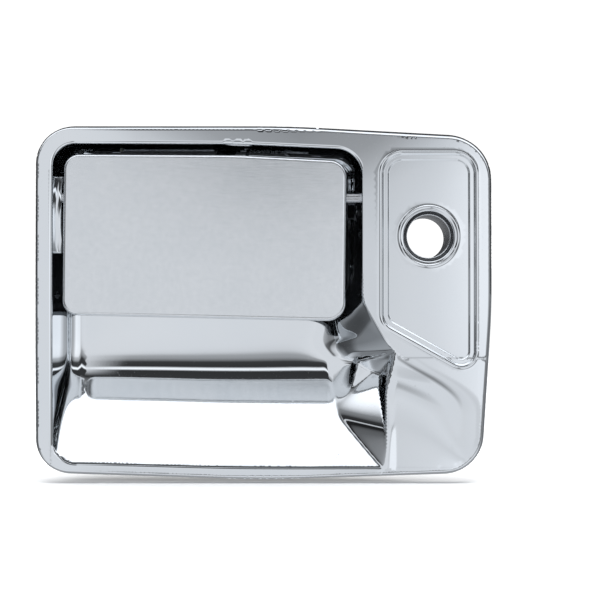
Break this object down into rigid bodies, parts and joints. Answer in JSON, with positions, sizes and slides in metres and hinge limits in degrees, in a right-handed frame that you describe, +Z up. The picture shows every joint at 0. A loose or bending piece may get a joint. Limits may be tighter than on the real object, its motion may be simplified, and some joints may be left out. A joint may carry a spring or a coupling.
{
  "type": "car door handle",
  "caption": "Chromed exterior paddle handle with a finger bucket, thumb scoop and lock recess, and a release lever, springs and fixing studs behind it.",
  "frame": {"origin": "lock cylinder axis, in the plane of the door skin's outer surface", "axes": "+X to the right seen from outside the car, +Y into the door, +Z up; the bright face looks along -Y"},
  "size_m": [0.189, 0.05, 0.1467],
  "materials": {
    "bright_chrome": "polished chrome plate on a zinc casting",
    "satin_chrome": "satin chrome plate",
    "black_nylon": "moulded, fine grain",
    "foam_rubber": "matt",
    "bare_zinc": "as cast",
    "plated_steel": "zinc plated, yellow passivated",
    "bright_steel": "zinc plated",
    "spring_steel": "oiled",
    "acetal": "moulded, natural colour"
  },
  "bodies": {
    "root": {"bezel": "bright_chrome", "base_frame": "black_nylon", "gasket": "foam_rubber", "rest_bumper": "foam_rubber", "travel_bumper": "foam_rubber", "lock_sleeve": "bare_zinc", "studs": "plated_steel", "bezel_screws": "bright_steel", "hinge_pin": "bright_steel", "pin_clip": "spring_steel", "return_spring": "spring_steel", "lever_pivot": "bright_steel", "lever_spring": "spring_steel"},
    "paddle": {"paddle_skin": "satin_chrome", "paddle_carrier": "black_nylon", "skin_screws": "bright_steel", "left_bush": "acetal", "right_bush": "acetal", "tail_pad": "acetal", "pad_pin": "bright_steel"},
    "release_lever_body": {"release_lever": "plated_steel", "lever_bush": "acetal", "counterweight": "bare_zinc", "counterweight_rivet": "bright_steel"},
    "rod_clip_body": {"rod_clip": "acetal"}
  },
  "joints": [
    {"name": "paddle_hinge", "type": "hinge", "parent": "root", "child": "paddle", "pos_m": [-0.05, -0.0015, 0.0161], "axis": [-1, 0, 0], "range_deg": [0, 28], "stiffness_Nm_per_rad": 0.8, "springref_deg": -34.38, "deforming": ["return_spring"]},
    {"name": "release_lever_turn", "type": "hinge", "parent": "root", "child": "release_lever_body", "pos_m": [-0.1218, 0.0278, 0.00945], "axis": [0, 1, 0], "range_deg": [0, 28], "stiffness_Nm_per_rad": 0.15, "springref_deg": -28.65, "deforming": ["lever_spring"]},
    {"name": "rod_clip_swivel", "type": "hinge", "parent": "release_lever_body", "child": "rod_clip_body", "pos_m": [-0.1458, 0.0278, 0.00945], "axis": [0, 1, 0], "range_deg": [-30, 30]}
  ],
  "couplings": [
    {"joint": "release_lever_turn", "follows": "paddle_hinge", "ratio": 1}
  ]
}
